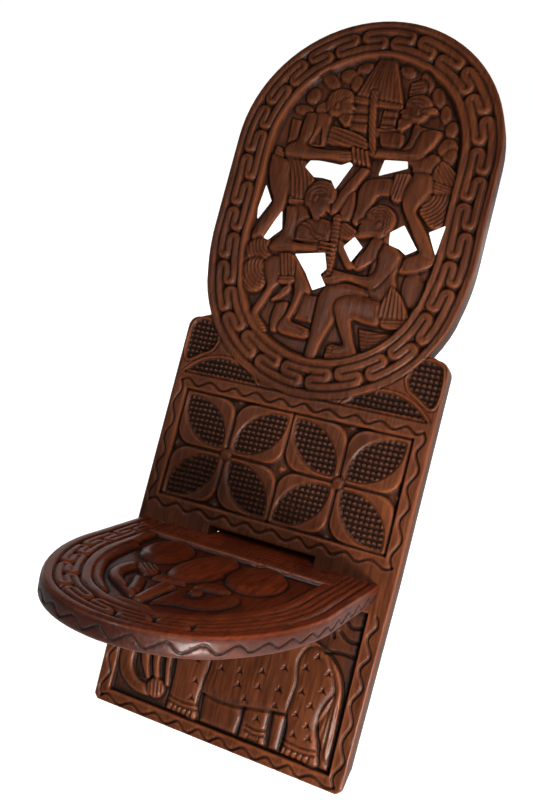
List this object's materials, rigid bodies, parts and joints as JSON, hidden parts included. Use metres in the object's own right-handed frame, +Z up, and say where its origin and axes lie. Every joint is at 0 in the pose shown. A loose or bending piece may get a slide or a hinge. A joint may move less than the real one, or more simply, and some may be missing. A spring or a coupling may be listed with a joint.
{
  "type": "two-board slot-together chair",
  "caption": "Low carved wooden chair of two boards: a leaning pierced back board and a round-fronted seat board whose tongue passes through the back's slot to the floor.",
  "frame": {"origin": "floor level, middle of the back board's foot", "axes": "+X across the chair, to the right of someone facing it; the seat points to -Y; +Z up"},
  "size_m": [0.341, 0.7346, 0.7272],
  "materials": {
    "back_wood": "dark red-brown stain, waxed, hand carved",
    "seat_wood": "dark red-brown stain, waxed, hand carved"
  },
  "bodies": {
    "back": {"back_board": "back_wood"},
    "seat": {"seat_board": "seat_wood"}
  },
  "joints": [
    {"name": "seat_slide", "type": "slide", "parent": "back", "child": "seat", "axis": [0, -0.8926, 0.4509], "range_m": [0, 0.45]}
  ]
}
